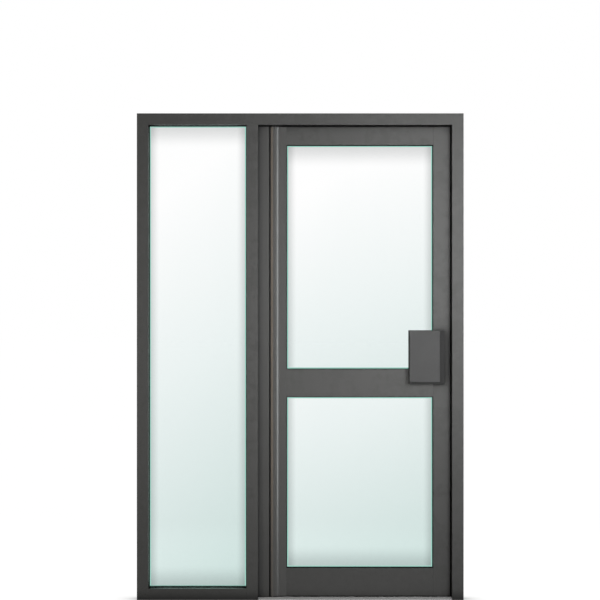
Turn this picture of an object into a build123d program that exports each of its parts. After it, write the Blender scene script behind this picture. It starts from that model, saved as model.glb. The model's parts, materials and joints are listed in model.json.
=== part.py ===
from build123d import *
from collections import namedtuple
import os

# Glass pivot door in its frame, with a fixed sidelight on the left of the leaf.
# X runs right along the wall, Y from the front to the back and Z up from the floor.
# The origin lies on the floor, in the middle of the frame's width and depth.

# Overall frame
OVERALL_WIDTH = 1450.0
OVERALL_HEIGHT = 2160.0
FRAME_DEPTH = 114.0
FRAME_FACE = 51.0
SIDELIGHT_WIDTH = 435.5

# Leaf and the gaps around it
LEAF_THICKNESS = 44.5
PIVOT_STILE_REACH = 54.0
LOCK_STILE_WIDTH = 75.0
TOP_RAIL_HEIGHT = 79.0
MID_RAIL_HEIGHT = 121.0
MID_RAIL_CENTRE = 962.0
BOTTOM_RAIL_HEIGHT = 124.0
LOCK_GAP = 7.0
TOP_GAP = 8.0
FLOOR_GAP = 4.5

# Extruded walls
WALL = 2.5
EDGE_RADIUS = 0.8
MATCH = 0.01
OVERRUN = 5.0
FIT = 0.15

# Glazing pocket: a fixed leg in front, a snap-in bead behind
POCKET_DEPTH = 16.0
GLASS_THICKNESS = 10.0
GLASS_EDGE_GAP = 5.0
GLASS_ARRIS = 0.8
GASKET_THICKNESS = 4.0
GASKET_LIP = 3.5
GASKET_NOSE = 1.5
REGLET_OFFSET = 7.0
REGLET_WIDTH = 3.0
REGLET_DEPTH = 3.0
BEAD_WALL = 2.0
RIB_HEIGHT = 4.0
RIB_WIDTH = 2.0
SETTING_BLOCK_LENGTH = 100.0
SETTING_BLOCK_INSET = 60.0

# Finger guard: the round nose of the leaf turns in the channel of the post
POST_WIDTH = 49.0
POST_DEPTH = 70.0
NOSE_RADIUS = 31.0
NOSE_WALL = 3.0
NOSE_GAP = 3.5
LIP_CLEARANCE = 0.75
CHANNEL_WALL = 6.0
POST_BRUSH_ANGLE = 33.0
POST_BRUSH_DEPTH = 4.0
POST_BRUSH_WIDTH = 4.6
POST_SEAL_INSET = 2.0
PILE_WIDTH = 3.2
PILE_CLEARANCE = 0.4

# Brush grooves in the edges of the leaf
GROOVE_WIDTH = 5.0
GROOVE_DEPTH = 5.0

# Threshold
THRESHOLD_HEIGHT = 10.0
THRESHOLD_LIP = 3.0
THRESHOLD_RAMP = 16.0
THRESHOLD_PLATE = 4.0
THRESHOLD_CAVITY = 46.0
TREAD_PITCH = 6.0
TREAD_WIDTH = 2.0
TREAD_DEPTH = 1.0
TREAD_COUNT = 12
FLOOR_HOLE_RADIUS = 3.25
FLOOR_HEAD_RADIUS = 6.0
FLOOR_HOLE_END_INSET = 150.0
FLOOR_HOLE_Y = 33.0

# Pivots and concealed closer
PIN_RADIUS = 9.0
PIN_HEIGHT = 45.0
PIN_CHAMFER = 1.5
RUNNING_FIT = 0.05
BUSH_WALL = 4.0
BUSH_LENGTH = 48.0
PRESS_GAP = 0.02
PIVOT_BLOCK_HEIGHT = 60.0
PIVOT_BASE_LENGTH = 120.0
PIVOT_BASE_WIDTH = 34.0
PIVOT_BASE_HOLE_INSET = 17.0
RING_RADIUS = 28.0
RING_CLEARANCE = 0.3
SPINDLE_RADIUS = 8.0
SPINDLE_SQUARE_SHARE = 0.68
SPINDLE_ENGAGE = 22.0
SPINDLE_SOCKET = 40.0
SPINDLE_HOLE_GAP = 0.8
CLOSER_LENGTH = 280.0
CLOSER_WIDTH = 76.0
CLOSER_HEIGHT = 29.0
CLOSER_HEEL = 60.0
CLOSER_ROUND = 10.0
CLOSER_SCREW_INSET = 14.0
CLOSER_SCREW_Y = 22.0

# Pan-head screws
SCREW_RADIUS = 2.5
SCREW_LENGTH = 12.0
SCREW_HEAD_RADIUS = 5.0
SCREW_HEAD_HEIGHT = 3.0
PAN_ROUND_SHARE = 0.5
SCREW_ACCESS_RADIUS = 6.5
POST_SCREW_COUNT = 5
POST_SCREW_INSET = 160.0

# Joints inside the hollow members
CLEAT_ARM = 90.0
CLEAT_DEPTH = 40.0
SHEAR_BLOCK_LENGTH = 60.0
CAP_DEPTH = 15.0

# Wall fixings through the jambs
ANCHOR_RADIUS = 4.5
ANCHOR_FIRST = 200.0
ANCHOR_LAST = 160.0
ANCHOR_COUNT = 4

# Pull plates: a flat plate on an L-shaped base, alike on both faces of the leaf
PULL_DROP = 3.0
PULL_SETBACK = 26.0
PULL_PLATE_WIDTH = 134.0
PULL_PLATE_HEIGHT = 228.0
PULL_PLATE_THICKNESS = 6.0
PULL_PLATE_CORNER = 3.0
PULL_PLATE_EDGE = 1.0
PULL_STANDOFF = 35.0
PULL_LEG_WIDTH = 41.0
PULL_FOOT_HEIGHT = 31.0
PULL_SIDE_REVEAL = 22.0
PULL_FOOT_REVEAL = 9.0
PULL_BASE_WALL = 4.0
PULL_BASE_EDGE = 1.0
PULL_BOSS_RADIUS = 8.0
PULL_STUD_RADIUS = 4.0
PULL_STUD_GRIP = 20.0
PULL_STUD_INSET = 26.0
PULL_STUD_GAP = 0.5
PLATE_SCREW_RADIUS = 2.0
PLATE_SCREW_HEAD = 3.5
PLATE_SCREW_HEAD_HEIGHT = 2.5
PLATE_SCREW_BITE = 3.5

# Places that follow from the sizes above
LEFT = -OVERALL_WIDTH / 2
RIGHT = OVERALL_WIDTH / 2
HALF_DEPTH = FRAME_DEPTH / 2
HALF_LEAF = LEAF_THICKNESS / 2
HALF_GLASS = GLASS_THICKNESS / 2
SEAT = HALF_GLASS + GASKET_THICKNESS
TUBE_FACE = FRAME_FACE - POCKET_DEPTH
LEFT_SIGHT = LEFT + FRAME_FACE
MULLION_SIGHT = LEFT_SIGHT + SIDELIGHT_WIDTH
MULLION_BACK = MULLION_SIGHT + FRAME_FACE
RIGHT_SIGHT = RIGHT - FRAME_FACE
HEAD_SIGHT = OVERALL_HEIGHT - FRAME_FACE
HEAD_BASE = HEAD_SIGHT + POCKET_DEPTH
LIP_X = MULLION_BACK + POST_WIDTH
PIVOT_X = LIP_X + LIP_CLEARANCE + HALF_LEAF
CHANNEL_RADIUS = NOSE_RADIUS + NOSE_GAP
LOCK_EDGE = RIGHT_SIGHT - LOCK_GAP
LEAF_TOP = HEAD_SIGHT - TOP_GAP
LEAF_BOTTOM = THRESHOLD_HEIGHT + FLOOR_GAP
PIVOT_SIGHT = PIVOT_X + PIVOT_STILE_REACH
LOCK_SIGHT = LOCK_EDGE - LOCK_STILE_WIDTH
MID_RAIL_BOTTOM = MID_RAIL_CENTRE - MID_RAIL_HEIGHT / 2
MID_RAIL_TOP = MID_RAIL_CENTRE + MID_RAIL_HEIGHT / 2
BRUSH_START = PIVOT_X + RING_RADIUS + RING_CLEARANCE
BRUSH_END = LOCK_EDGE - GROOVE_DEPTH
SWEEP_Y = HALF_LEAF - WALL - GROOVE_WIDTH / 2
PULL_RIGHT = LOCK_EDGE - PULL_SETBACK
PULL_HEIGHT = MID_RAIL_CENTRE - PULL_DROP
PLATE_RIGHT = PULL_RIGHT - PULL_SIDE_REVEAL
PLATE_LEFT = PLATE_RIGHT - PULL_PLATE_WIDTH
PLATE_BOTTOM = PULL_HEIGHT + PULL_FOOT_REVEAL
PLATE_TOP = PLATE_BOTTOM + PULL_PLATE_HEIGHT
PULL_FACE = -HALF_LEAF - PULL_STANDOFF

# Base rectangle of a glazing pocket, seen from the front
Pocket = namedtuple("Pocket", "left right bottom top")
SIDELIGHT = Pocket(LEFT_SIGHT - POCKET_DEPTH, MULLION_SIGHT + POCKET_DEPTH, TUBE_FACE, HEAD_BASE)
UPPER = Pocket(
    PIVOT_SIGHT - POCKET_DEPTH,
    LOCK_SIGHT + POCKET_DEPTH,
    MID_RAIL_TOP - POCKET_DEPTH,
    LEAF_TOP - TOP_RAIL_HEIGHT + POCKET_DEPTH,
)
LOWER = Pocket(
    UPPER.left,
    UPPER.right,
    LEAF_BOTTOM + BOTTOM_RAIL_HEIGHT - POCKET_DEPTH,
    MID_RAIL_BOTTOM + POCKET_DEPTH,
)
DOOR_RIGHT_BASE = RIGHT_SIGHT + POCKET_DEPTH


def save(name, *shapes):
    """Write the solids of one node."""
    solids = [solid for shape in shapes for solid in shape.solids()]
    export_step(solids[0] if len(solids) == 1 else Compound(solids), f"parts/{name}.step")


def rect(u0, u1, v0, v1):
    return Pos((u0 + u1) / 2, (v0 + v1) / 2) * Rectangle(abs(u1 - u0), abs(v1 - v0))


def block(x0, x1, y0, y1, z0, z1):
    centre = Pos((x0 + x1) / 2, (y0 + y1) / 2, (z0 + z1) / 2)
    return centre * Box(abs(x1 - x0), abs(y1 - y0), abs(z1 - z0))


def rod(start, direction, radius, length):
    """Round bar that runs from a point along a direction."""
    return extrude(Plane(start, z_dir=direction) * Circle(radius), amount=length)


def bar(section, side, edge, low, high):
    """Extrude a section whose u axis starts at the edge and points into the opening."""
    planes = {
        "left": Plane((edge, 0, low), x_dir=(1, 0, 0), z_dir=(0, 0, 1)),
        "right": Plane((edge, 0, high), x_dir=(-1, 0, 0), z_dir=(0, 0, -1)),
        "top": Plane((low, 0, edge), x_dir=(0, 0, -1), z_dir=(1, 0, 0)),
        "bottom": Plane((high, 0, edge), x_dir=(0, 0, 1), z_dir=(-1, 0, 0)),
    }
    return extrude(planes[side] * section, amount=high - low)


def mitre(part, x, z, toward_x, toward_z):
    """Cut a member at 45 degrees through a corner and keep one side."""
    return split(part, Plane((x, 0, z), z_dir=(toward_x, 0, toward_z)), keep=Keep.TOP)


def ring(section, pocket):
    """Four mitred lengths of a section around a pocket."""
    left = bar(section, "left", pocket.left, pocket.bottom, pocket.top)
    right = bar(section, "right", pocket.right, pocket.bottom, pocket.top)
    top = bar(section, "top", pocket.top, pocket.left, pocket.right)
    bottom = bar(section, "bottom", pocket.bottom, pocket.left, pocket.right)
    return {
        "left": mitre(mitre(left, pocket.left, pocket.top, -1, -1), pocket.left, pocket.bottom, -1, 1),
        "right": mitre(mitre(right, pocket.right, pocket.top, 1, -1), pocket.right, pocket.bottom, 1, 1),
        "top": mitre(mitre(top, pocket.left, pocket.top, 1, 1), pocket.right, pocket.top, -1, 1),
        "bottom": mitre(mitre(bottom, pocket.left, pocket.bottom, 1, -1), pocket.right, pocket.bottom, -1, -1),
    }


def glazing_leg(base, way, half):
    """Front leg of a glazing pocket and its hollows, standing from the tube wall at base."""

    def span(low, high, v0, v1):
        return rect(base + way * low, base + way * high, v0, v1)

    reglet_back = -SEAT - REGLET_DEPTH
    leg = span(0, POCKET_DEPTH, -half, -SEAT)
    hollow = span(0, POCKET_DEPTH - WALL, WALL - half, reglet_back - WALL)
    reglet = span(REGLET_OFFSET, REGLET_OFFSET + REGLET_WIDTH, reglet_back, -SEAT)
    return leg, hollow + reglet


def round_faces(outline, half):
    """Small radius on the corners that lie in the two faces of a section."""
    corners = outline.vertices().filter_by(lambda corner: abs(abs(corner.Y) - half) < MATCH)
    return fillet(corners, EDGE_RADIUS)


def hollow_section(start, end, depth, ways):
    """Tube from start to end with a glazing leg towards each way."""
    half = depth / 2
    outline = rect(start, end, -half, half)
    hollows = [rect(start + WALL, end - WALL, WALL - half, half - WALL)]
    for way in ways:
        leg, hollow = glazing_leg(end if way > 0 else start, way, half)
        outline += leg
        hollows.append(hollow)
    return round_faces(outline, half) - hollows


def rib_section(base, way, depth):
    """Two ribs on a pocket's base that a bead snaps over."""
    half = depth / 2
    front = SEAT + BEAD_WALL
    back = half - BEAD_WALL
    tip = base + way * RIB_HEIGHT
    return rect(base, tip, front, front + RIB_WIDTH) + rect(base, tip, back - RIB_WIDTH, back)


def bead_section(depth):
    half = depth / 2
    outline = rect(0, POCKET_DEPTH, SEAT, half)
    outline = fillet(outline.vertices().group_by(Axis.Y)[-1], EDGE_RADIUS)
    return outline - rect(0, POCKET_DEPTH - BEAD_WALL, SEAT + BEAD_WALL, half - BEAD_WALL)


def filler_section():
    outline = rect(0, POCKET_DEPTH, -SEAT, HALF_DEPTH)
    outline = fillet(outline.vertices().group_by(Axis.Y)[-1], EDGE_RADIUS)
    return outline - rect(0, POCKET_DEPTH - BEAD_WALL, BEAD_WALL - SEAT, HALF_DEPTH - BEAD_WALL)


def gasket_section(side):
    """Gasket between the glass and the leg in front (side -1) or the bead behind (side 1)."""
    outline = rect(GLASS_EDGE_GAP, POCKET_DEPTH + GASKET_LIP, side * HALF_GLASS, side * SEAT)
    nose = outline.vertices().filter_by(
        lambda corner: abs(corner.Y - side * SEAT) < MATCH and corner.X > POCKET_DEPTH
    )
    outline = fillet(nose, GASKET_NOSE)
    if side < 0:
        tail_start = REGLET_OFFSET + FIT
        tail_end = REGLET_OFFSET + REGLET_WIDTH - FIT
        outline += rect(tail_start, tail_end, FIT - SEAT - REGLET_DEPTH, -SEAT)
    return outline


def brush(side, edge, gap, low, high, pile_high, centre=0):
    """Pile seal: a backing held in an edge groove and a pile that nearly closes the gap."""
    across = Pos(0, centre)
    backing = across * rect(0, GROOVE_DEPTH - FIT, FIT - GROOVE_WIDTH / 2, GROOVE_WIDTH / 2 - FIT)
    pile = across * rect(PILE_CLEARANCE - gap, 0, -PILE_WIDTH / 2, PILE_WIDTH / 2)
    return bar(backing, side, edge, low, high) + bar(pile, side, edge, low, pile_high)


def with_edge_grooves(section, centres):
    """Brush grooves with their own walls, at the outer edge of a leaf member."""
    half = GROOVE_WIDTH / 2
    inside = HALF_LEAF - WALL
    for centre in centres:
        low, high = max(centre - half - WALL, -inside), min(centre + half + WALL, inside)
        section += rect(0, GROOVE_DEPTH + WALL, low, high)
    return section - [rect(0, GROOVE_DEPTH, centre - half, centre + half) for centre in centres]


def pane(pocket):
    glass = block(
        pocket.left + GLASS_EDGE_GAP,
        pocket.right - GLASS_EDGE_GAP,
        -HALF_GLASS,
        HALF_GLASS,
        pocket.bottom + GLASS_EDGE_GAP,
        pocket.top - GLASS_EDGE_GAP,
    )
    rims = glass.faces().sort_by(Axis.Y)
    return chamfer(rims[0].edges() + rims[-1].edges(), GLASS_ARRIS)


def setting_blocks(pocket):
    """Two blocks between a pane's lower edge and the base of its pocket."""
    low, high = pocket.left + SETTING_BLOCK_INSET, pocket.right - SETTING_BLOCK_INSET
    top = pocket.bottom + GLASS_EDGE_GAP
    return [
        block(start, start + SETTING_BLOCK_LENGTH, -HALF_GLASS, HALF_GLASS, pocket.bottom, top)
        for start in (low, high - SETTING_BLOCK_LENGTH)
    ]


def glaze(name, pocket, depth):
    """Pane, gaskets with tails notched at the corners, and beads of one pocket."""
    save(f"{name}_glass", pane(pocket))
    notches = [
        block(x, x + across * POCKET_DEPTH, -SEAT - REGLET_DEPTH, -SEAT, z, z + up * POCKET_DEPTH)
        for x, across in ((pocket.left, 1), (pocket.right, -1))
        for z, up in ((pocket.bottom, 1), (pocket.top, -1))
    ]
    front = ring(gasket_section(-1), pocket).values()
    save(f"{name}_gasket_front", *[length - notches for length in front])
    save(f"{name}_gasket_back", *ring(gasket_section(1), pocket).values())
    for side, bead in ring(bead_section(depth), pocket).items():
        save(f"{name}_bead_{side}", bead)


def anchor_holes(x, way):
    """Wall fixing holes through both walls of a jamb, under its bead or filler."""
    y = (SEAT + HALF_DEPTH) / 2
    step = (OVERALL_HEIGHT - ANCHOR_FIRST - ANCHOR_LAST) / (ANCHOR_COUNT - 1)
    heights = [ANCHOR_FIRST + step * index for index in range(ANCHOR_COUNT)]
    return [rod((x, y, z), (way, 0, 0), ANCHOR_RADIUS, FRAME_FACE) for z in heights]


def post_screw_heights():
    span = HEAD_SIGHT - THRESHOLD_HEIGHT - 2 * POST_SCREW_INSET
    step = span / (POST_SCREW_COUNT - 1)
    return [THRESHOLD_HEIGHT + POST_SCREW_INSET + step * index for index in range(POST_SCREW_COUNT)]


def pan_screw(seat, direction):
    """Pan-head screw whose head sits on a seat and whose shank runs along a direction."""
    head = extrude(Circle(SCREW_HEAD_RADIUS), amount=-SCREW_HEAD_HEIGHT)
    head = fillet(head.edges().group_by(Axis.Z)[0], SCREW_HEAD_HEIGHT * PAN_ROUND_SHARE)
    shank = extrude(Circle(SCREW_RADIUS), amount=SCREW_LENGTH)
    return Plane(seat, z_dir=direction) * (head + shank)


def floor_hole(x, y, top):
    """Countersunk hole for a floor screw, cut down from a top face."""
    shank = rod((x, y, -OVERRUN), (0, 0, 1), FLOOR_HOLE_RADIUS, top + 2 * OVERRUN)
    sink = FLOOR_HEAD_RADIUS - FLOOR_HOLE_RADIUS
    cone = Cone(FLOOR_HOLE_RADIUS, FLOOR_HEAD_RADIUS, sink)
    return shank + Pos(x, y, top - sink / 2) * cone


def frame_members():
    """Jambs, head, mullion and sill, all cut from one pocket extrusion."""
    section = hollow_section(0, TUBE_FACE, FRAME_DEPTH, (1,))
    ribs = rib_section(TUBE_FACE, 1, FRAME_DEPTH)

    left_jamb = bar(section, "left", LEFT, 0, OVERALL_HEIGHT) + bar(ribs, "left", LEFT, 0, OVERALL_HEIGHT)
    left_jamb = mitre(left_jamb, LEFT, OVERALL_HEIGHT, -1, -1)
    left_jamb = mitre(left_jamb, LEFT, 0, -1, 1)
    save("left_jamb", left_jamb - anchor_holes(LEFT, 1))

    right_jamb = bar(section, "right", RIGHT, 0, OVERALL_HEIGHT) + bar(ribs, "right", RIGHT, 0, OVERALL_HEIGHT)
    right_jamb = mitre(right_jamb, RIGHT, OVERALL_HEIGHT, 1, -1)
    save("right_jamb", right_jamb - anchor_holes(RIGHT, -1))

    head = bar(section, "top", OVERALL_HEIGHT, LEFT, RIGHT)
    head += bar(ribs, "top", OVERALL_HEIGHT, LEFT, SIDELIGHT.right - RIB_HEIGHT)
    head += bar(ribs, "top", OVERALL_HEIGHT, MULLION_BACK, RIGHT)
    head = mitre(head, LEFT, OVERALL_HEIGHT, 1, 1)
    head = mitre(head, RIGHT, OVERALL_HEIGHT, -1, 1)
    head -= [spindle_hole()] + closer_screw_holes()
    save("head", head)

    mullion = bar(section, "right", MULLION_BACK, 0, HEAD_BASE)
    mullion += bar(ribs, "right", MULLION_BACK, TUBE_FACE, HEAD_BASE)
    mullion -= block(MULLION_SIGHT, MULLION_BACK, -HALF_DEPTH, -SEAT, HEAD_SIGHT, HEAD_BASE)
    save("mullion", mullion - post_screw_holes())

    sill = bar(section, "bottom", 0, LEFT, SIDELIGHT.right)
    sill += bar(ribs, "bottom", 0, LEFT, SIDELIGHT.right - RIB_HEIGHT)
    sill = mitre(sill, LEFT, 0, 1, -1)
    sill -= block(MULLION_SIGHT, SIDELIGHT.right, -HALF_DEPTH, -SEAT, 0, FRAME_FACE)
    save("sidelight_sill", sill)

    filler = filler_section()
    head_filler = bar(filler, "top", HEAD_BASE, MULLION_BACK, DOOR_RIGHT_BASE)
    save("head_filler", mitre(head_filler, DOOR_RIGHT_BASE, HEAD_BASE, -1, 1) - spindle_hole())
    jamb_filler = bar(filler, "right", DOOR_RIGHT_BASE, 0, HEAD_BASE)
    save("right_jamb_filler", mitre(jamb_filler, DOOR_RIGHT_BASE, HEAD_BASE, 1, -1))


def frame_joints():
    """Corner cleats in the three mitres and shear blocks where members butt."""
    inner, outer = WALL + FIT, TUBE_FACE - WALL - FIT
    half = CLEAT_DEPTH / 2
    top = OVERALL_HEIGHT - inner
    upright = block(LEFT + inner, LEFT + outer, -half, half, top - CLEAT_ARM, top)
    level = block(LEFT + inner, LEFT + inner + CLEAT_ARM, -half, half, OVERALL_HEIGHT - outer, top)
    cleat = upright + level
    right_cleat = mirror(cleat, about=Plane.YZ)
    sill_cleat = mirror(cleat, about=Plane.XY.offset(OVERALL_HEIGHT / 2))
    save("frame_corner_cleats", cleat, right_cleat, sill_cleat)

    front, back = FIT - SEAT, HALF_DEPTH - inner
    mullion_block = block(
        MULLION_BACK - outer, MULLION_BACK - inner, front, back, HEAD_BASE - SHEAR_BLOCK_LENGTH, HEAD_BASE
    )
    sill_block = block(SIDELIGHT.right - SHEAR_BLOCK_LENGTH, SIDELIGHT.right, front, back, inner, outer)
    save("frame_shear_blocks", mullion_block, sill_block)


def finger_guard():
    """Set-back post whose concave channel wraps the nose, with brushes at its lips and a seal on its top."""
    half = POST_DEPTH / 2
    axis = Pos(PIVOT_X, 0)
    outline = rect(MULLION_BACK, LIP_X, -half, half)
    lips = outline.vertices().group_by(Axis.X)[-1]
    outline = fillet(lips, EDGE_RADIUS) - axis * Circle(CHANNEL_RADIUS)
    hollow = rect(MULLION_BACK + WALL, PIVOT_X - CHANNEL_RADIUS, WALL - half, half - WALL)
    section = outline - (hollow - axis * Circle(CHANNEL_RADIUS + CHANNEL_WALL))
    backing_end = CHANNEL_RADIUS + POST_BRUSH_DEPTH
    groove = rect(NOSE_RADIUS, backing_end, -POST_BRUSH_WIDTH / 2, POST_BRUSH_WIDTH / 2)
    backing = rect(CHANNEL_RADIUS, backing_end - FIT, FIT - POST_BRUSH_WIDTH / 2, POST_BRUSH_WIDTH / 2 - FIT)
    pile = rect(NOSE_RADIUS + PILE_CLEARANCE, CHANNEL_RADIUS, -PILE_WIDTH / 2, PILE_WIDTH / 2)
    turns = [Rot(0, 0, 180 + side * POST_BRUSH_ANGLE) for side in (-1, 1)]
    section -= [axis * turn * groove for turn in turns]
    post = bar(section, "left", 0, THRESHOLD_HEIGHT, LEAF_TOP)
    access_start = PIVOT_X - CHANNEL_RADIUS - CHANNEL_WALL - OVERRUN
    access = [
        rod((access_start, 0, z), (1, 0, 0), SCREW_ACCESS_RADIUS, CHANNEL_RADIUS) for z in post_screw_heights()
    ]
    save("finger_guard_post", post - access - post_screw_holes())
    brushes = [bar(axis * turn * (backing + pile), "left", 0, THRESHOLD_HEIGHT, LEAF_TOP) for turn in turns]
    pad = rect(MULLION_BACK, LIP_X - POST_SEAL_INSET, POST_SEAL_INSET - half, half - POST_SEAL_INSET)
    pad -= axis * Circle(CHANNEL_RADIUS + POST_SEAL_INSET)
    save("post_seals", *brushes, bar(pad, "left", 0, LEAF_TOP, HEAD_SIGHT))


def post_screw_holes():
    start = MULLION_BACK - OVERRUN
    return [
        rod((start, 0, z), (1, 0, 0), SCREW_RADIUS + FIT, 2 * OVERRUN) for z in post_screw_heights()
    ]


def closer_screw_places():
    low = PIVOT_X - CLOSER_HEEL + CLOSER_SCREW_INSET
    high = PIVOT_X - CLOSER_HEEL + CLOSER_LENGTH - CLOSER_SCREW_INSET
    return [(x, CLOSER_SCREW_Y, HEAD_BASE) for x in (low, high)]


def closer_screw_holes():
    return [rod(place, (0, 0, 1), SCREW_RADIUS + FIT, SCREW_LENGTH + FIT) for place in closer_screw_places()]


def frame_screws():
    post = [pan_screw((MULLION_BACK + WALL, 0, z), (-1, 0, 0)) for z in post_screw_heights()]
    closer = [pan_screw(place, (0, 0, 1)) for place in closer_screw_places()]
    save("frame_screws", *post, *closer)


def spindle_hole():
    return rod((PIVOT_X, 0, HEAD_SIGHT), (0, 0, 1), SPINDLE_RADIUS + SPINDLE_HOLE_GAP, POCKET_DEPTH + WALL)


def threshold():
    """Ramped plate under the leaf, with treads, floor screw holes and a slot for the pivot base."""
    low = rect(0, THRESHOLD_LIP, -HALF_DEPTH, HALF_DEPTH)
    crown = HALF_DEPTH - THRESHOLD_RAMP
    ramps = make_face(
        Polyline(
            (THRESHOLD_LIP, -HALF_DEPTH),
            (THRESHOLD_HEIGHT, -crown),
            (THRESHOLD_HEIGHT, crown),
            (THRESHOLD_LIP, HALF_DEPTH),
            close=True,
        )
    )
    cavity = rect(0, THRESHOLD_HEIGHT - THRESHOLD_PLATE, -THRESHOLD_CAVITY / 2, THRESHOLD_CAVITY / 2)
    first = -TREAD_PITCH * (TREAD_COUNT - 1) / 2
    treads = [
        rect(
            THRESHOLD_HEIGHT - TREAD_DEPTH,
            THRESHOLD_HEIGHT,
            first + TREAD_PITCH * index - TREAD_WIDTH / 2,
            first + TREAD_PITCH * index + TREAD_WIDTH / 2,
        )
        for index in range(TREAD_COUNT)
    ]
    plate = bar(low + ramps - cavity - treads, "bottom", 0, MULLION_BACK, RIGHT_SIGHT)
    slot = Pos(PIVOT_X, 0) * SlotOverall(PIVOT_BASE_LENGTH + 2 * FIT, PIVOT_BASE_WIDTH + 2 * FIT)
    plate -= extrude(slot, amount=THRESHOLD_HEIGHT)
    places = (PIVOT_X + FLOOR_HOLE_END_INSET, RIGHT_SIGHT - FLOOR_HOLE_END_INSET)
    holes = [floor_hole(x, y, THRESHOLD_HEIGHT) for x in places for y in (-FLOOR_HOLE_Y, FLOOR_HOLE_Y)]
    save("threshold", plate - holes)


def pivots():
    """Floor pivot with its bush, concealed closer with its spindle, and the blocks that key them to the stile."""
    base = extrude(Pos(PIVOT_X, 0) * SlotOverall(PIVOT_BASE_LENGTH, PIVOT_BASE_WIDTH), amount=THRESHOLD_HEIGHT)
    pin = rod((PIVOT_X, 0, THRESHOLD_HEIGHT), (0, 0, 1), PIN_RADIUS, PIN_HEIGHT)
    pin = chamfer(pin.edges().group_by(Axis.Z)[-1], PIN_CHAMFER)
    reach = PIVOT_BASE_LENGTH / 2 - PIVOT_BASE_HOLE_INSET
    holes = [floor_hole(PIVOT_X + way * reach, 0, THRESHOLD_HEIGHT) for way in (-1, 1)]
    save("bottom_pivot_base", base + pin - holes)

    bore = PIN_RADIUS + RUNNING_FIT
    bush_radius = bore + BUSH_WALL
    foot = (PIVOT_X, 0, LEAF_BOTTOM)
    up = (0, 0, 1)
    save("pivot_bush", rod(foot, up, bush_radius, BUSH_LENGTH) - rod(foot, up, bore, BUSH_LENGTH))
    washer_low = (PIVOT_X, 0, THRESHOLD_HEIGHT + RING_CLEARANCE)
    washer_height = FLOOR_GAP - RING_CLEARANCE
    washer = rod(washer_low, up, RING_RADIUS, washer_height) - rod(washer_low, up, bore, washer_height)
    save("thrust_washer", washer)

    keyed = pivot_chamber(FIT)
    bottom_block = bar(keyed, "left", PIVOT_X, LEAF_BOTTOM, LEAF_BOTTOM + PIVOT_BLOCK_HEIGHT)
    bottom_block -= rod(foot, up, bush_radius + PRESS_GAP, BUSH_LENGTH)
    save("bottom_pivot_block", bottom_block - bottom_slots())

    square = 2 * SPINDLE_RADIUS * SPINDLE_SQUARE_SHARE
    socket = square + 2 * PRESS_GAP
    socket_low = LEAF_TOP - SPINDLE_SOCKET
    top_block = bar(keyed, "left", PIVOT_X, LEAF_TOP - PIVOT_BLOCK_HEIGHT, LEAF_TOP)
    top_block -= extrude(Pos(PIVOT_X, 0, socket_low) * Rectangle(socket, socket), amount=SPINDLE_SOCKET)
    save("top_pivot_block", top_block - top_slot())

    body_low = HEAD_BASE + WALL
    spindle_top = body_low + SPINDLE_ENGAGE
    spindle = extrude(Pos(PIVOT_X, 0, socket_low) * Rectangle(square, square), amount=SPINDLE_SOCKET)
    spindle += rod((PIVOT_X, 0, LEAF_TOP), up, SPINDLE_RADIUS, spindle_top - LEAF_TOP)
    save("closer_spindle", spindle)
    ring_low = (PIVOT_X, 0, LEAF_TOP)
    ring_height = TOP_GAP - RING_CLEARANCE
    spacer = rod(ring_low, up, RING_RADIUS, ring_height)
    save("top_spacer_ring", spacer - rod(ring_low, up, SPINDLE_RADIUS + FIT, ring_height))

    start = PIVOT_X - CLOSER_HEEL
    body = block(
        start, start + CLOSER_LENGTH, -CLOSER_WIDTH / 2, CLOSER_WIDTH / 2, body_low, body_low + CLOSER_HEIGHT
    )
    body = fillet(body.edges().filter_by(Axis.Z), CLOSER_ROUND)
    body -= rod((PIVOT_X, 0, body_low), up, SPINDLE_RADIUS + RUNNING_FIT, SPINDLE_ENGAGE + RING_CLEARANCE)
    save("closer_body", body - closer_screw_holes())


def pivot_chamber(inset):
    """Keyhole chamber of the pivot stile, drawn in from its walls by an inset."""
    end = PIVOT_STILE_REACH - POCKET_DEPTH - WALL - inset
    half = HALF_LEAF - WALL - inset
    return Circle(NOSE_RADIUS - NOSE_WALL - inset) + rect(0, end, -half, half)


def brush_slot(centre, low, high):
    """Slot for a rail's brush where it runs on over the stiles."""
    half = GROOVE_WIDTH / 2
    return block(BRUSH_START, BRUSH_END, centre - half, centre + half, low, high)


def top_slot():
    return brush_slot(0, LEAF_TOP - GROOVE_DEPTH, LEAF_TOP)


def bottom_slots():
    return [brush_slot(way * SWEEP_Y, LEAF_BOTTOM, LEAF_BOTTOM + GROOVE_DEPTH) for way in (-1, 1)]


def stud_places():
    """Where the pull's studs pass through the leaf, seen from the front."""
    upright = PULL_RIGHT - PULL_LEG_WIDTH / 2
    level = PULL_HEIGHT + PULL_FOOT_HEIGHT / 2
    top = PLATE_TOP - PULL_STUD_INSET
    return [
        (upright, top),
        (upright, (top + level) / 2),
        (upright, level),
        (PLATE_LEFT + PULL_STUD_INSET, level),
    ]


def stud_rods(places, radius, reach):
    return [rod((x, -reach, z), (0, 1, 0), radius, 2 * reach) for x, z in places]


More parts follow.
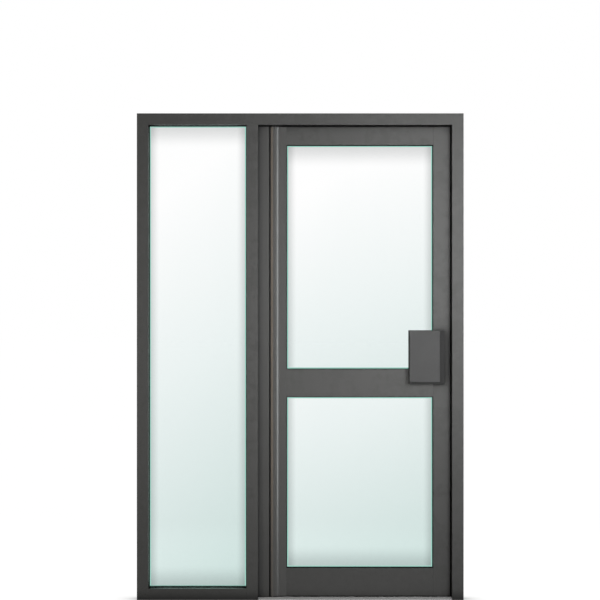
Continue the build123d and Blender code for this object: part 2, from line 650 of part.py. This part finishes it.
def leaf_members():
    """Stiles run the full height, rails are coped between them."""
    slots = [top_slot(), *bottom_slots()]
    stud_holes = stud_rods(stud_places(), PULL_STUD_RADIUS + PULL_STUD_GAP, HALF_LEAF)

    tube_end = PIVOT_STILE_REACH - POCKET_DEPTH
    leg, hollow = glazing_leg(tube_end, 1, HALF_LEAF)
    outline = round_faces(rect(0, tube_end, -HALF_LEAF, HALF_LEAF) + leg, HALF_LEAF)
    section = outline + Circle(NOSE_RADIUS) - [hollow, pivot_chamber(0)]
    ribs = rib_section(tube_end, 1, LEAF_THICKNESS)
    pivot_stile = bar(section, "left", PIVOT_X, LEAF_BOTTOM, LEAF_TOP)
    for pocket in (UPPER, LOWER):
        pivot_stile += bar(ribs, "left", PIVOT_X, pocket.bottom, pocket.top)
    save("pivot_stile", pivot_stile - slots)

    tube_end = LOCK_STILE_WIDTH - POCKET_DEPTH
    section = with_edge_grooves(hollow_section(0, tube_end, LEAF_THICKNESS, (1,)), (0,))
    ribs = rib_section(tube_end, 1, LEAF_THICKNESS)
    lock_stile = bar(section, "right", LOCK_EDGE, LEAF_BOTTOM, LEAF_TOP)
    for pocket in (UPPER, LOWER):
        lock_stile += bar(ribs, "right", LOCK_EDGE, pocket.bottom, pocket.top)
    save("lock_stile", lock_stile - slots - stud_holes)

    edge_rail("top_rail", "top", LEAF_TOP, TOP_RAIL_HEIGHT, (0,))
    edge_rail("bottom_rail", "bottom", LEAF_BOTTOM, BOTTOM_RAIL_HEIGHT, (-SWEEP_Y, SWEEP_Y))

    low, high = POCKET_DEPTH, MID_RAIL_HEIGHT - POCKET_DEPTH
    section = hollow_section(low, high, LEAF_THICKNESS, (-1, 1))
    ribs = rib_section(low, -1, LEAF_THICKNESS) + rib_section(high, 1, LEAF_THICKNESS)
    mid_rail = bar(section, "bottom", MID_RAIL_BOTTOM, UPPER.left, UPPER.right)
    mid_rail += bar(ribs, "bottom", MID_RAIL_BOTTOM, UPPER.left + RIB_HEIGHT, UPPER.right - RIB_HEIGHT)
    save("mid_rail", cope(mid_rail) - stud_holes)


def edge_rail(name, side, edge, height, grooves):
    """Top or bottom rail, with brush grooves in its outer edge."""
    tube_end = height - POCKET_DEPTH
    section = with_edge_grooves(hollow_section(0, tube_end, LEAF_THICKNESS, (1,)), grooves)
    ribs = rib_section(tube_end, 1, LEAF_THICKNESS)
    rail = bar(section, side, edge, UPPER.left, UPPER.right)
    rail += bar(ribs, side, edge, UPPER.left + RIB_HEIGHT, UPPER.right - RIB_HEIGHT)
    save(name, cope(rail))


def cope(rail):
    """Cut back the front of a rail's ends, which butt against the glazing legs of the stiles."""
    ends = [(UPPER.left, PIVOT_SIGHT), (LOCK_SIGHT, UPPER.right)]
    return rail - [block(low, high, -HALF_LEAF, -SEAT, LEAF_BOTTOM, LEAF_TOP) for low, high in ends]


def leaf_joints():
    """Shear blocks in the rail ends and caps in the ends of the lock stile."""
    half = HALF_LEAF - WALL - FIT
    below_groove = GROOVE_DEPTH + WALL + FIT
    ends = [(UPPER.left, UPPER.left + SHEAR_BLOCK_LENGTH), (UPPER.right - SHEAR_BLOCK_LENGTH, UPPER.right)]
    rails = [
        ("top", LEAF_TOP, below_groove, TOP_RAIL_HEIGHT - POCKET_DEPTH - WALL - FIT),
        ("bottom", LEAF_BOTTOM, below_groove, BOTTOM_RAIL_HEIGHT - POCKET_DEPTH - WALL - FIT),
        ("bottom", MID_RAIL_BOTTOM, POCKET_DEPTH + WALL + FIT, MID_RAIL_HEIGHT - POCKET_DEPTH - WALL - FIT),
    ]
    blocks = [
        bar(rect(start, end, FIT - SEAT, half), side, edge, low, high)
        for side, edge, start, end in rails
        for low, high in ends
    ]
    save("leaf_shear_blocks", *blocks)

    chamber = rect(WALL + FIT, LOCK_STILE_WIDTH - POCKET_DEPTH - WALL - FIT, -half, half)
    groove_walls = GROOVE_WIDTH / 2 + WALL + FIT
    section = chamber - rect(0, below_groove, -groove_walls, groove_walls)
    top_cap = bar(section, "right", LOCK_EDGE, LEAF_TOP - CAP_DEPTH, LEAF_TOP)
    bottom_cap = bar(section, "right", LOCK_EDGE, LEAF_BOTTOM, LEAF_BOTTOM + CAP_DEPTH)
    save("lock_stile_caps", top_cap - top_slot(), bottom_cap - bottom_slots())


def leaf_brushes():
    """One pile at the top, two at the bottom, run on over the lock edge to close the corners of the gap."""
    save("lock_edge_brush", brush("right", LOCK_EDGE, LOCK_GAP, LEAF_BOTTOM, LEAF_TOP, LEAF_TOP))
    corner = RIGHT_SIGHT - PILE_CLEARANCE
    save("top_brush", brush("top", LEAF_TOP, TOP_GAP, BRUSH_START, BRUSH_END, corner))
    side_corner = PIVOT_X + ((corner - PIVOT_X) ** 2 - (SWEEP_Y + PILE_WIDTH / 2) ** 2) ** 0.5
    rows = [
        brush("bottom", LEAF_BOTTOM, FLOOR_GAP, BRUSH_START, BRUSH_END, side_corner, way * SWEEP_Y)
        for way in (-1, 1)
    ]
    save("bottom_brush", *rows)


def facing(y):
    """Plane parallel to the leaf that looks to the front, with X across and Z up."""
    return Plane((0, y, 0), x_dir=(1, 0, 0), z_dir=(0, -1, 0))


def plate_screw_places():
    """Screws from the base into its plate, each midway between two studs."""
    top, middle, corner, foot = stud_places()
    upright = (PULL_RIGHT - PULL_LEG_WIDTH + PULL_BASE_WALL + PLATE_RIGHT) / 2
    level = (PLATE_BOTTOM + PULL_HEIGHT + PULL_FOOT_HEIGHT - PULL_BASE_WALL) / 2
    return [
        (upright, (top[1] + middle[1]) / 2),
        (upright, (middle[1] + corner[1]) / 2),
        ((corner[0] + foot[0]) / 2, level),
    ]


def pulls():
    """Pull plates and their hollow L-shaped bases on both faces, joined through the leaf by studs."""
    upright = rect(PULL_RIGHT - PULL_LEG_WIDTH, PULL_RIGHT, PULL_HEIGHT, PLATE_TOP)
    outline = upright + rect(PLATE_LEFT, PULL_RIGHT, PULL_HEIGHT, PULL_HEIGHT + PULL_FOOT_HEIGHT)
    inside = offset(outline, amount=-PULL_BASE_WALL, kind=Kind.INTERSECTION)
    depth = PULL_STANDOFF - PULL_BASE_WALL
    base = extrude(facing(-HALF_LEAF) * outline, amount=PULL_STANDOFF)
    base = chamfer(base.faces().sort_by(Axis.Y)[0].edges(), PULL_BASE_EDGE)
    base -= extrude(facing(-HALF_LEAF) * inside, amount=depth)
    to_front = (0, -1, 0)
    seat = PULL_FACE + PULL_BASE_WALL
    for x, z in stud_places():
        base += rod((x, -HALF_LEAF, z), to_front, PULL_BOSS_RADIUS, depth)
        base -= rod((x, -HALF_LEAF, z), to_front, PULL_STUD_RADIUS + PRESS_GAP, PULL_STUD_GRIP)

    face = rect(PLATE_LEFT, PLATE_RIGHT, PLATE_BOTTOM, PLATE_TOP)
    face = fillet(face.vertices(), PULL_PLATE_CORNER)
    plate = extrude(facing(PULL_FACE) * face, amount=PULL_PLATE_THICKNESS)
    plate = fillet(plate.faces().sort_by(Axis.Y)[0].edges(), PULL_PLATE_EDGE)

    screws = []
    for x, z in plate_screw_places():
        hole_length = PULL_BASE_WALL + PLATE_SCREW_BITE
        hole = rod((x, seat, z), to_front, PLATE_SCREW_RADIUS + PRESS_GAP, hole_length)
        base -= hole
        plate -= hole
        head = rod((x, seat, z), (0, 1, 0), PLATE_SCREW_HEAD, PLATE_SCREW_HEAD_HEIGHT)
        screws.append(head + rod((x, seat, z), to_front, PLATE_SCREW_RADIUS, hole_length))

    save("front_pull_plate", plate)
    save("front_pull_base", base)
    save("rear_pull_plate", mirror(plate, about=Plane.XZ))
    save("rear_pull_base", mirror(base, about=Plane.XZ))
    save("pull_plate_screws", *screws, *[mirror(screw, about=Plane.XZ) for screw in screws])
    save("pull_studs", *stud_rods(stud_places(), PULL_STUD_RADIUS, HALF_LEAF + PULL_STUD_GRIP))


os.makedirs("parts", exist_ok=True)
frame_members()
frame_joints()
finger_guard()
frame_screws()
threshold()
pivots()
leaf_members()
leaf_joints()
leaf_brushes()
pulls()
glaze("sidelight", SIDELIGHT, FRAME_DEPTH)
glaze("upper", UPPER, LEAF_THICKNESS)
glaze("lower", LOWER, LEAF_THICKNESS)
save("sidelight_setting_blocks", *setting_blocks(SIDELIGHT))
save("leaf_setting_blocks", *setting_blocks(UPPER), *setting_blocks(LOWER))
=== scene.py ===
import json
from math import radians

import bpy
from mathutils import Color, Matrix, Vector


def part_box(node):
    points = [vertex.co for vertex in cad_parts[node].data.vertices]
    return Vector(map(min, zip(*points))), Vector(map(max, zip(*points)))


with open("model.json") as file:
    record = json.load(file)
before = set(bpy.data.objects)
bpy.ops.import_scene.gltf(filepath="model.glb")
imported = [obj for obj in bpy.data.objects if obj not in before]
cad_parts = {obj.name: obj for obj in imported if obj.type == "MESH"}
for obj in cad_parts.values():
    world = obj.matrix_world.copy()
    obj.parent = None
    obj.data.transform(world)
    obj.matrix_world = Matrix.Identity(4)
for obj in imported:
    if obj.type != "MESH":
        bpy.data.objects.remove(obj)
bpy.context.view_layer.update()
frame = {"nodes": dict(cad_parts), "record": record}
nodes = frame["nodes"]
scene = bpy.context.scene


class Graph:
    """Short way to add nodes to a node tree and link them."""

    # Numbers of the Mix node's colour sockets
    FACTOR, FIRST, SECOND, RESULT = 0, 6, 7, 2
    # Most values of a noise lie between these two
    NOISE_LOW, NOISE_HIGH = 0.3, 0.7

    def __init__(self, tree):
        self.tree = tree
        tree.nodes.clear()

    def add(self, kind, inputs=None, **settings):
        node = self.tree.nodes.new("ShaderNode" + kind)
        for name, value in settings.items():
            setattr(node, name, value)
        for name, value in (inputs or {}).items():
            self.feed(node.inputs[name], value)
        return node

    def feed(self, socket, value):
        if isinstance(value, bpy.types.Node):
            value = value.outputs[0]
        if isinstance(value, bpy.types.NodeSocket):
            self.tree.links.new(value, socket)
        else:
            socket.default_value = value

    def math(self, operation, first, second):
        return self.add("Math", {0: first, 1: second}, operation=operation)

    def mix(self, factor, first, second, blend="MIX"):
        node = self.add("Mix", data_type="RGBA", blend_type=blend)
        for index, value in ((self.FACTOR, factor), (self.FIRST, first), (self.SECOND, second)):
            self.feed(node.inputs[index], value)
        return node.outputs[self.RESULT]

    def span(self, value, low, high, to_low=0.0, to_high=1.0, smooth=True):
        kind = "SMOOTHSTEP" if smooth else "LINEAR"
        limits = {"From Min": low, "From Max": high, "To Min": to_low, "To Max": to_high}
        return self.add("MapRange", {"Value": value, **limits}, interpolation_type=kind)

    def spread(self, noise, to_low=0.0, to_high=1.0):
        return self.span(noise, self.NOISE_LOW, self.NOISE_HIGH, to_low, to_high)

    def noise(self, vector, scale, detail=2.0, roughness=0.5):
        inputs = {"Vector": vector, "Scale": scale, "Detail": detail, "Roughness": roughness}
        return self.add("TexNoise", inputs)

    def stretched(self, vector, x, y, z):
        return self.add("Mapping", {"Vector": vector, "Scale": (x, y, z)})

    def place(self):
        return self.add("TexCoord").outputs["Object"]

    def light_reaching(self, distance, samples):
        """1 where nothing stands within the distance, down to 0 in a closed corner."""
        return self.add("AmbientOcclusion", {"Distance": distance}, samples=samples).outputs["AO"]


def rgb(red, green, blue):
    """Linear colour from 0-255 display values."""
    shown = Color((red / 255, green / 255, blue / 255))
    return (*shown.from_srgb_to_scene_linear(), 1.0)


def grey(value):
    """Neutral colour from a linear value."""
    return (value, value, value, 1.0)


WHITE = grey(1.0)


def new_material(name):
    material = bpy.data.materials.new(name)
    material.use_nodes = True
    return material, Graph(material.node_tree)


def finish_material(graph, colour, roughness, height, depth, **constants):
    """Principled surface with linked colour, roughness and bump, and constants set on its sockets."""
    bump = graph.add("Bump", {"Strength": 1.0, "Distance": depth, "Height": height})
    linked = {"Base Color": colour, "Roughness": roughness, "Normal": bump}
    shader = graph.add("BsdfPrincipled", linked)
    for name, value in constants.items():
        shader.inputs[name.replace("_", " ")].default_value = value
    graph.add("OutputMaterial", {"Surface": shader})


# Marks of the powder coat, with its painted edge highlight and painted corner shade: lengths in metres,
# shares of their colour
FLECK_SHARE = 0.1
FLECK_COLOUR = (0.16, 0.16, 0.157, 1.0)
RUBBED_AND_HIGHLIGHT_RADIUS = 0.0012
RUBBED_AND_HIGHLIGHT_SHARE = 0.05
RUBBED_AND_HIGHLIGHT_COLOUR = (0.24, 0.24, 0.235, 1.0)
PAINTED_SHADE_SHARE = 0.96
PAINTED_SHADE_COLOUR = grey(0.002)
CORNER_ROUGHNESS = 0.95
PEEL_DEPTH = 0.00003


def coated_metal(name, light, dark, shine=0.27, reach=0.012, closed=0.05, open_side=0.65, gloss=0.2):
    """Satin powder coat: orange peel, mottling, rubbed edges with a painted highlight, painted shade in
    inner corners.

    What stands within the reach shades the coat: fully where the light is down to closed, and not at all
    from open_side up.
    """
    material, graph = new_material(name)
    place = graph.place()
    mottle = graph.noise(place, scale=9.0, detail=4.0, roughness=0.6)
    fleck = graph.noise(place, scale=900.0, roughness=0.6)
    peel = graph.noise(place, scale=420.0)
    colour = graph.mix(graph.span(mottle, 0.2, 0.8), dark, light)
    colour = graph.mix(graph.span(fleck, 0.35, 0.75, to_high=FLECK_SHARE), colour, FLECK_COLOUR)

    # Rubbed edges, partly a painted highlight: the coat is lightened on its rounded edges
    rounded = graph.add("Bevel", {"Radius": RUBBED_AND_HIGHLIGHT_RADIUS}, samples=4)
    flat = graph.add("NewGeometry").outputs["Normal"]
    along = graph.add("VectorMath", {0: rounded, 1: flat}, operation="DOT_PRODUCT").outputs["Value"]
    rubbed_and_highlit_edge = graph.span(along, 0.995, 0.9, to_high=RUBBED_AND_HIGHLIGHT_SHARE)
    colour = graph.mix(rubbed_and_highlit_edge, colour, RUBBED_AND_HIGHLIGHT_COLOUR)

    # Painted shade: the coat is darkened where nearby parts close off the light
    painted_corner_shade = graph.span(graph.light_reaching(reach, samples=8), closed, open_side, PAINTED_SHADE_SHARE, 0.0)
    colour = graph.mix(painted_corner_shade, colour, PAINTED_SHADE_COLOUR)

    wear = graph.math("ADD", graph.math("MULTIPLY", mottle, 0.6), graph.math("MULTIPLY", fleck, 0.4))
    rough = graph.spread(wear, shine - 0.01, shine + 0.02)
    rough = graph.math("MAXIMUM", rough, graph.math("MULTIPLY", painted_corner_shade, CORNER_ROUGHNESS))
    height = graph.math("ADD", peel, graph.math("MULTIPLY", fleck, 0.5))
    finish_material(graph, colour, rough, height, PEEL_DEPTH, Specular_IOR_Level=gloss)
    return material


def brushed_aluminium(name, light, dark, along, metallic):
    """Mill finish with drawn lines along one axis."""
    material, graph = new_material(name)
    place = graph.place()
    scale = dict.fromkeys("xyz", 600.0) | {along: 6.0}
    lines = graph.noise(graph.stretched(place, **scale), scale=1.0, detail=3.0, roughness=0.6)
    cloud = graph.noise(place, scale=14.0, detail=3.0, roughness=0.55)
    colour = graph.mix(graph.spread(lines), dark, light)
    colour = graph.mix(graph.span(cloud, 0.35, 0.7, to_high=0.25), colour, dark)
    rough = graph.span(lines, 0.25, 0.75, to_low=0.3, to_high=0.48)
    finish_material(graph, colour, rough, height=lines, depth=0.00004, Metallic=metallic)
    return material


def zinc_steel(name):
    """Plated steel with a faint spangle."""
    material, graph = new_material(name)
    place = graph.place()
    spangle = graph.add("TexVoronoi", {"Vector": place, "Scale": 140.0}).outputs["Color"]
    cloud = graph.noise(place, scale=30.0, detail=3.0, roughness=0.6)
    colour = graph.mix(graph.span(spangle, 0.1, 0.9), (0.36, 0.37, 0.38, 1.0), grey(0.5))
    rough = graph.spread(cloud, to_low=0.28, to_high=0.44)
    finish_material(graph, colour, rough, height=cloud, depth=0.00005, Metallic=1.0)
    return material


def rubber(name):
    """Extruded black gasket with a fine grain and a bloom of dust."""
    material, graph = new_material(name)
    place = graph.place()
    dust = graph.noise(place, scale=60.0, detail=4.0, roughness=0.65)
    grain = graph.noise(place, scale=1200.0)
    black, dusty = (0.004, 0.005, 0.005, 1.0), (0.011, 0.012, 0.012, 1.0)
    colour = graph.mix(graph.span(dust, 0.4, 0.75), black, dusty)
    rough = graph.spread(dust, to_low=0.55, to_high=0.75)
    finish_material(graph, colour, rough, height=grain, depth=0.00005, Specular_IOR_Level=0.12)
    return material


def pile(name):
    """Dense black pile of a brush seal."""
    material, graph = new_material(name)
    place = graph.place()
    hair = graph.noise(place, scale=2600.0, roughness=0.7)
    tuft = graph.noise(place, scale=180.0, detail=3.0, roughness=0.6)
    colour = graph.mix(graph.spread(hair), grey(0.004), grey(0.02))
    rough = graph.spread(tuft, to_low=0.85, to_high=1.0)
    height = graph.math("ADD", hair, tuft)
    finish_material(graph, colour, rough, height, depth=0.0004, Sheen_Weight=0.1, Specular_IOR_Level=0.1)
    return material


def moulded(name):
    """Moulded black plastic with a fine eroded grain."""
    material, graph = new_material(name)
    place = graph.place()
    grain = graph.noise(place, scale=700.0, detail=3.0, roughness=0.6)
    cloud = graph.noise(place, scale=40.0)
    colour = graph.mix(graph.spread(cloud), grey(0.012), grey(0.02))
    rough = graph.spread(grain, to_low=0.5, to_high=0.65)
    finish_material(graph, colour, rough, height=grain, depth=0.00006, Specular_IOR_Level=0.2)
    return material


# How far a pane reaches into its pocket, and its edge tint and inner shades from there, in metres
HIDDEN_EDGE = 0.0145
EDGE_LINE = 0.0055
EDGE_LINE_CORE_SHARE = 0.75
SIDE_SHADE = 0.045
END_SHADE = 0.1
# Heights between which the tint deepens with painted shade, in metres, and what each direction adds to it
TINT_AND_SHADE_TOP = 2.06
TINT_AND_SHADE_FOOT = 0.06
ACROSS_PANE_SHARE = 0.14
DOWN_PANE_SHARE = 0.2
DOWN_DOOR_SHARE = 0.66
# Depth of tint and painted shade up to which the glass is clear, and where the middle tint lies
CLEAR_SHARE = 0.14
MIDDLE_SHARE = 0.5
MIDDLE_TINT_AND_SHADE = rgb(234, 242, 241)
DEEP_TINT_AND_SHADE = rgb(195, 216, 212)
STREAK_TINT = rgb(214, 230, 226)
EDGE_TINT = rgb(150, 205, 190)
INNER_SHADE = rgb(218, 219, 219)
# Ends of each pane that lie in the frame's shade
SHADED_ENDS = {"sidelight_glass": ("top", "bottom"), "upper_glass": ("top",), "lower_glass": ("bottom",)}


def glass(pane):
    """Float glass: green edges, a painted soft shade inside the frame, and a green tint with painted shade
    that deepens to the lower right.
    """
    low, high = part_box(pane)
    material, graph = new_material(pane + "_tint")
    place = graph.place()
    split = graph.add("SeparateXYZ", {0: place}).outputs
    x, z = split["X"], split["Z"]
    left = graph.math("SUBTRACT", x, low.x + HIDDEN_EDGE)
    right = graph.math("SUBTRACT", high.x - HIDDEN_EDGE, x)
    side = graph.math("MINIMUM", left, right)
    ends = {
        "bottom": graph.math("SUBTRACT", z, low.z + HIDDEN_EDGE),
        "top": graph.math("SUBTRACT", high.z - HIDDEN_EDGE, z),
    }
    border = graph.math("MINIMUM", side, graph.math("MINIMUM", ends["bottom"], ends["top"]))

    # Tint with painted shade: white at the top, deeper and greener down the door and towards each pane's
    # lower right
    across = graph.span(x, low.x, high.x, to_high=ACROSS_PANE_SHARE, smooth=False)
    down = graph.span(z, high.z, low.z, to_high=DOWN_PANE_SHARE, smooth=False)
    overall = graph.span(z, TINT_AND_SHADE_TOP, TINT_AND_SHADE_FOOT, to_high=DOWN_DOOR_SHARE, smooth=False)
    shaded_tint = graph.add("ValToRGB", {0: graph.math("ADD", graph.math("ADD", across, down), overall)})
    stops = shaded_tint.color_ramp.elements
    stops[0].position, stops[0].color = CLEAR_SHARE, WHITE
    stops[1].position, stops[1].color = 1.0, DEEP_TINT_AND_SHADE
    stops.new(MIDDLE_SHARE).color = MIDDLE_TINT_AND_SHADE

    streak = graph.noise(graph.stretched(place, 1.0, 1.0, 0.25), scale=3.0)
    colour = graph.mix(graph.span(streak, 0.35, 0.75, to_high=0.06), shaded_tint, STREAK_TINT)
    shades = [(side, SIDE_SHADE)] + [(ends[end], END_SHADE) for end in SHADED_ENDS[pane]]
    for distance, reach in shades:
        colour = graph.mix(graph.span(distance, 0.0, reach, 1.0, 0.0), colour, INNER_SHADE, "MULTIPLY")
    line = graph.span(border, EDGE_LINE * EDGE_LINE_CORE_SHARE, EDGE_LINE, 1.0, 0.0)
    colour = graph.mix(line, colour, EDGE_TINT)

    smear = graph.noise(place, scale=24.0, detail=3.0, roughness=0.6)
    rough = graph.span(smear, 0.35, 0.7, to_low=0.015, to_high=0.05)
    wave = graph.noise(place, scale=2.2, detail=1.0, roughness=0.4)
    finish_material(graph, colour, rough, height=wave, depth=0.0004, Transmission_Weight=1.0, IOR=1.5)
    return material


# Light and dark colour of the coat on most bars, of a darker copy with painted shade on the bar with the
# round edge to even out its stronger gloss, and of bare blocks
COAT = rgb(76, 76, 75), rgb(74, 74, 73)
NOSE_SHADED_COAT = rgb(68, 68, 67), rgb(66, 66, 65)
BLOCK_METAL = (0.6, 0.6, 0.61, 1.0), (0.46, 0.46, 0.47, 1.0)
FRAME_BARS = (
    "left_jamb",
    "right_jamb",
    "head",
    "mullion",
    "sidelight_sill",
    "head_filler",
    "right_jamb_filler",
)
LEAF_EDGE_BARS = ("lock_stile", "top_rail", "bottom_rail")
# The coats differ in how far and how strongly their painted corner shade reaches
frame_coat = coated_metal("frame_coat", *COAT, reach=0.08, closed=0.3, open_side=0.98)
leaf_edge_coat = coated_metal("leaf_edge_coat", *COAT, reach=0.05, closed=0.1, open_side=1.0)
post_coat = coated_metal("set_back_coat", *COAT, shine=0.3, reach=0.06, closed=0.1, open_side=1.0)
nose_coat = coated_metal("round_edge_coat", *NOSE_SHADED_COAT, shine=0.28, reach=0.009, gloss=0.4)
by_node = {
    **dict.fromkeys(FRAME_BARS, frame_coat),
    **dict.fromkeys(LEAF_EDGE_BARS, leaf_edge_coat),
    **{pane: glass(pane) for pane in SHADED_ENDS},
    "finger_guard_post": post_coat,
    "pivot_stile": nose_coat,
    "threshold": brushed_aluminium("threshold_aluminium", grey(0.62), grey(0.53), "x", 0.25),
}
by_slot = {
    "dark_coated_aluminium": coated_metal("dark_coat", *COAT),
    "pull_plate_coating": coated_metal("pull_plate_coat", rgb(66, 66, 66), rgb(62, 62, 62), shine=0.36),
    "pull_base_coating": coated_metal("pull_base_coat", rgb(36, 36, 36), rgb(31, 31, 31), shine=0.4),
    "black_gasket": rubber("gasket_rubber"),
    "black_pile": pile("brush_pile"),
    "mill_aluminium": brushed_aluminium("block_aluminium", *BLOCK_METAL, "z", 0.85),
    "zinc_steel": zinc_steel("plated_steel"),
    "black_plastic": moulded("black_moulding"),
}
slot_of = {entry["node"]: entry["material_slot"] for entry in frame["record"]["subparts"]}
for name, node in nodes.items():
    node.data.materials.clear()
    node.data.materials.append(by_node.get(name) or by_slot[slot_of[name]])


def white_for_rays(graph):
    """1 for camera, glossy and transmission rays, 0 for light that reaches the object."""
    path = graph.add("LightPath").outputs
    seen = graph.math("MAXIMUM", path["Is Camera Ray"], path["Is Glossy Ray"])
    seen = graph.math("MAXIMUM", seen, path["Is Transmission Ray"])
    return graph.math("MULTIPLY", seen, graph.math("LESS_THAN", path["Diffuse Depth"], 0.5))


# Half the floor's side, its drop below the object and the reach of the shade beside it, in metres
FLOOR_HALF = 60.0
FLOOR_DROP = 0.0008
FLOOR_SHADE_REACH = 0.3
# Strength of the floor's white in the open and beside the object
FLOOR_WHITE = 0.95
FLOOR_SHADED_WHITE = 0.55


def make_floor():
    """Pale floor that shows white, with the object's faint shadow and a shade beside it."""
    mesh = bpy.data.meshes.new("floor")
    corners = [(-1, -1), (1, -1), (1, 1), (-1, 1)]
    points = [(x * FLOOR_HALF, y * FLOOR_HALF, -FLOOR_DROP) for x, y in corners]
    mesh.from_pydata(points, [], [(0, 1, 2, 3)])
    floor = bpy.data.objects.new("floor", mesh)
    scene.collection.objects.link(floor)

    material, graph = new_material("pale_floor")
    grain = graph.noise(graph.place(), scale=30.0, detail=3.0, roughness=0.6)
    matt = graph.add("BsdfDiffuse", {"Color": graph.mix(graph.spread(grain), grey(0.25), grey(0.27))})
    open_share = graph.light_reaching(FLOOR_SHADE_REACH, samples=16)
    white = graph.span(open_share, 0.45, 1.0, FLOOR_SHADED_WHITE, FLOOR_WHITE)
    strength = graph.math("MULTIPLY", white_for_rays(graph), white)
    glow = graph.add("Emission", {"Color": WHITE, "Strength": strength})
    graph.add("OutputMaterial", {"Surface": graph.add("AddShader", {0: matt, 1: glow})})
    mesh.materials.append(material)


# Strength of the light that the surroundings cast
WORLD_LIGHT = 0.2


def make_world():
    """White surroundings, dimmer for the light they cast."""
    world = bpy.data.worlds.new("surroundings")
    world.use_nodes = True
    scene.world = world
    graph = Graph(world.node_tree)
    strength = graph.span(white_for_rays(graph), 0.0, 1.0, to_low=WORLD_LIGHT, smooth=False)
    background = graph.add("Background", {"Color": WHITE, "Strength": strength})
    graph.add("OutputWorld", {"Surface": background})


make_floor()
make_world()

# The cards put a highlight on the round edge and leave the other pieces alone
unlit_by_cards = bpy.data.collections.new("unlit_by_cards")
for name, node in nodes.items():
    if name != "pivot_stile":
        unlit_by_cards.objects.link(node)
for entry in unlit_by_cards.collection_objects:
    entry.light_linking.link_state = "EXCLUDE"


def aim(item, place, target):
    """Put a lamp or camera in its place, turned to a target."""
    item.location = place
    item.rotation_mode = "QUATERNION"
    item.rotation_quaternion = (Vector(target) - Vector(place)).to_track_quat("-Z", "Y")


NEUTRAL = (1.0, 1.0, 1.0)
CREAM = (1.0, 0.96, 0.88)
AMBER = (1.0, 0.64, 0.34)
COOL = (0.98, 0.99, 1.0)
PALE_BLUE = (0.94, 0.99, 1.0)


def soft_light(name, place, target, size, power, spread, colour, card):
    """Area lamp that lights without being mirrored, or a card that is only mirrored."""
    lamp = bpy.data.lights.new(name, "AREA")
    lamp.shape = "RECTANGLE"
    lamp.size, lamp.size_y = size
    lamp.energy = power
    lamp.color = colour
    lamp.spread = radians(spread)
    item = bpy.data.objects.new(name, lamp)
    scene.collection.objects.link(item)
    item.visible_diffuse = not card
    item.visible_glossy = card
    item.visible_transmission = False
    if card:
        item.light_linking.receiver_collection = unlit_by_cards
    aim(item, place, target)


# Middle and height of the tall strips, and the point on the round edge that they face, in metres
STRIP_MIDDLE = 1.21
STRIP_HEIGHT = 2.38
ROUND_EDGE = (-0.1, 0.0, 1.15)
# Name, place, target, width and height in metres, power in watts, spread in degrees, colour, card or lamp
LAMPS = (
    ("key", (0.6, -3.4, 1.45), (0.25, 0.0, 1.2), (1.2, 1.2), 4.4, 45.0, NEUTRAL, False),
    ("right_fill", (1.7, -2.4, 1.55), (0.72, 0.0, 1.45), (0.8, 1.4), 13.6, 75.0, COOL, False),
    ("right_top", (0.9, -3.0, 2.0), (0.72, 0.0, 1.8), (0.8, 0.8), 2.3, 40.0, NEUTRAL, False),
    ("left_fill", (-2.3, -2.0, STRIP_MIDDLE), ROUND_EDGE, (0.2, STRIP_HEIGHT), 9.6, 120.0, CREAM, False),
    ("side_card", (2.5, -1.75, STRIP_MIDDLE), ROUND_EDGE, (0.8, STRIP_HEIGHT), 8.5, 60.0, PALE_BLUE, True),
    ("warm_card", (-2.0, -2.25, STRIP_MIDDLE), ROUND_EDGE, (1.0, STRIP_HEIGHT), 3.6, 60.0, AMBER, True),
    ("back_fill", (-2.4, 3.0, 2.4), (0.0, 0.0, 1.2), (1.4, 1.4), 24.0, 120.0, NEUTRAL, False),
    ("back_side", (2.6, 2.6, 1.4), (0.0, 0.0, 1.1), (0.6, 1.8), 9.0, 120.0, NEUTRAL, False),
)
for settings in LAMPS:
    soft_light(*settings)

# Camera square to the frame's front face, with the floor line on the picture's lower edge, in metres
PICTURE_PIXELS = 600
METRES_PER_PIXEL = 0.0044366
DISTANCE = 10.0
FACE_Y = -0.057
CAMERA_X = -0.00104
CAMERA_HEIGHT = 1.3317
camera = bpy.data.cameras.new("camera")
camera.sensor_width = 36.0
camera.lens = camera.sensor_width * DISTANCE / (PICTURE_PIXELS * METRES_PER_PIXEL)
camera_object = bpy.data.objects.new("camera", camera)
scene.collection.objects.link(camera_object)
aim(camera_object, (CAMERA_X, FACE_Y - DISTANCE, CAMERA_HEIGHT), (CAMERA_X, FACE_Y, CAMERA_HEIGHT))
scene.camera = camera_object
scene.view_settings.view_transform = "Standard"
